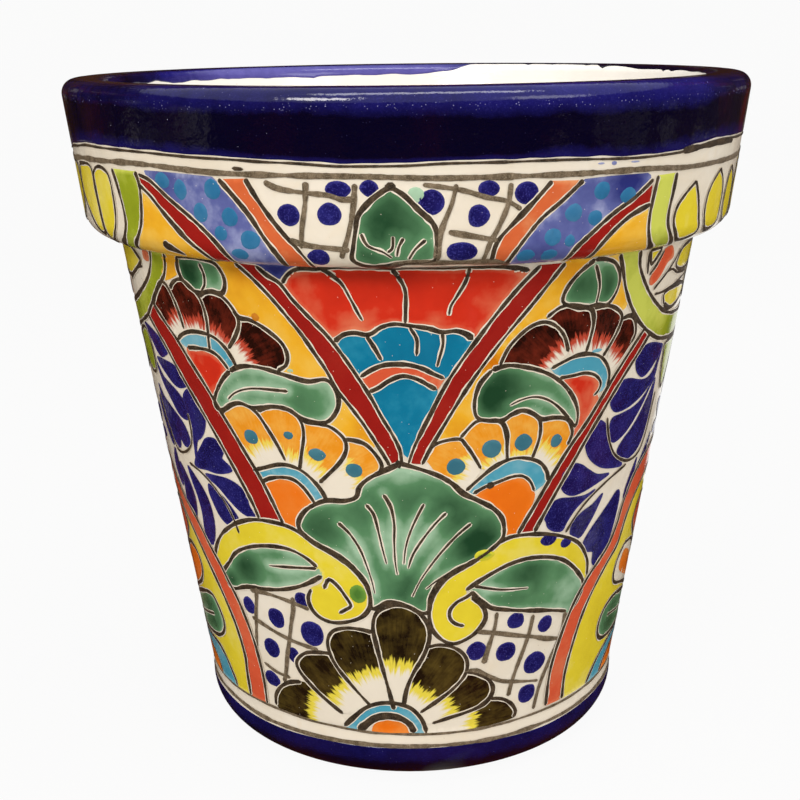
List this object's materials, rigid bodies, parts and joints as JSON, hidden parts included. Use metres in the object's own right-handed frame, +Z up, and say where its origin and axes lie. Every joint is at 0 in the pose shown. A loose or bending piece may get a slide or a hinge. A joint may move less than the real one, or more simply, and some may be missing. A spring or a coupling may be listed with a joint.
{
  "type": "cone planter",
  "caption": "Tapered earthenware planter with a thick collar, cobalt rim and foot, a drain hole, and raised painted glaze fields of leaves, petals, scrolls and dots.",
  "frame": {"origin": "middle of the flat base, on the axis of the pot", "axes": "+Z up along the axis of the pot, the painted front faces -Y"},
  "size_m": [0.305, 0.305, 0.305],
  "materials": {
    "terracotta": "unglazed fired red earthenware, matt, slightly sandy",
    "white_glaze": "glossy warm white tin glaze with fine pinholes",
    "cobalt_glaze": "glossy deep cobalt blue glaze",
    "line_pigment": "dark brown-grey brushed line under a clear gloss",
    "red_enamel": "glossy red painted glaze",
    "dark_red_enamel": "glossy dark red painted glaze",
    "coral_enamel": "glossy coral painted glaze",
    "yellow_enamel": "glossy warm yellow painted glaze",
    "lemon_enamel": "glossy lemon yellow painted glaze",
    "lime_enamel": "glossy lime green painted glaze",
    "green_enamel": "glossy copper green painted glaze, pooled darker in places",
    "turquoise_enamel": "glossy turquoise painted glaze",
    "orange_enamel": "glossy orange painted glaze",
    "maroon_enamel": "dark maroon brushed petals running out in flame strokes",
    "brown_enamel": "black-brown brushed petals running out in flame strokes",
    "violet_enamel": "thin violet-blue brushed wash"
  },
  "bodies": {
    "root": {"clay_body": "terracotta", "inside_glaze": "white_glaze", "outside_glaze": "white_glaze", "rim_band": "cobalt_glaze", "foot_band": "cobalt_glaze", "collar_lines": "line_pigment", "foot_lines": "line_pigment", "red_fan": "red_enamel", "fan_scallops": "turquoise_enamel", "fan_arc": "coral_enamel", "fan_tip": "turquoise_enamel", "fan_stripes": "dark_red_enamel", "yellow_panels": "yellow_enamel", "small_leaves": "green_enamel", "maroon_petals": "maroon_enamel", "red_discs": "red_enamel", "upper_arcs": "turquoise_enamel", "long_leaves": "green_enamel", "orange_petals": "orange_enamel", "orange_discs": "orange_enamel", "lower_arcs": "turquoise_enamel", "outer_stripes": "dark_red_enamel", "shell_leaf": "green_enamel", "scrolls": "lemon_enamel", "scroll_leaves": "green_enamel", "dark_petals": "brown_enamel", "foot_arc": "turquoise_enamel", "foot_disc": "orange_enamel", "lattice_dots": "cobalt_glaze", "feathers": "cobalt_glaze", "arch_rings": "coral_enamel", "arch_bands": "yellow_enamel", "arch_leaves": "green_enamel", "arch_petals": "orange_enamel", "arch_arcs": "turquoise_enamel", "arch_discs": "orange_enamel", "roundel_rings": "lime_enamel", "roundel_petals": "lemon_enamel", "lime_strips": "lime_enamel", "collar_petals": "lemon_enamel", "collar_panels": "yellow_enamel", "collar_stripes": "dark_red_enamel", "violet_panels": "violet_enamel", "coral_stripes": "coral_enamel", "collar_leaf": "green_enamel", "collar_dots": "cobalt_glaze"}
  },
  "joints": []
}
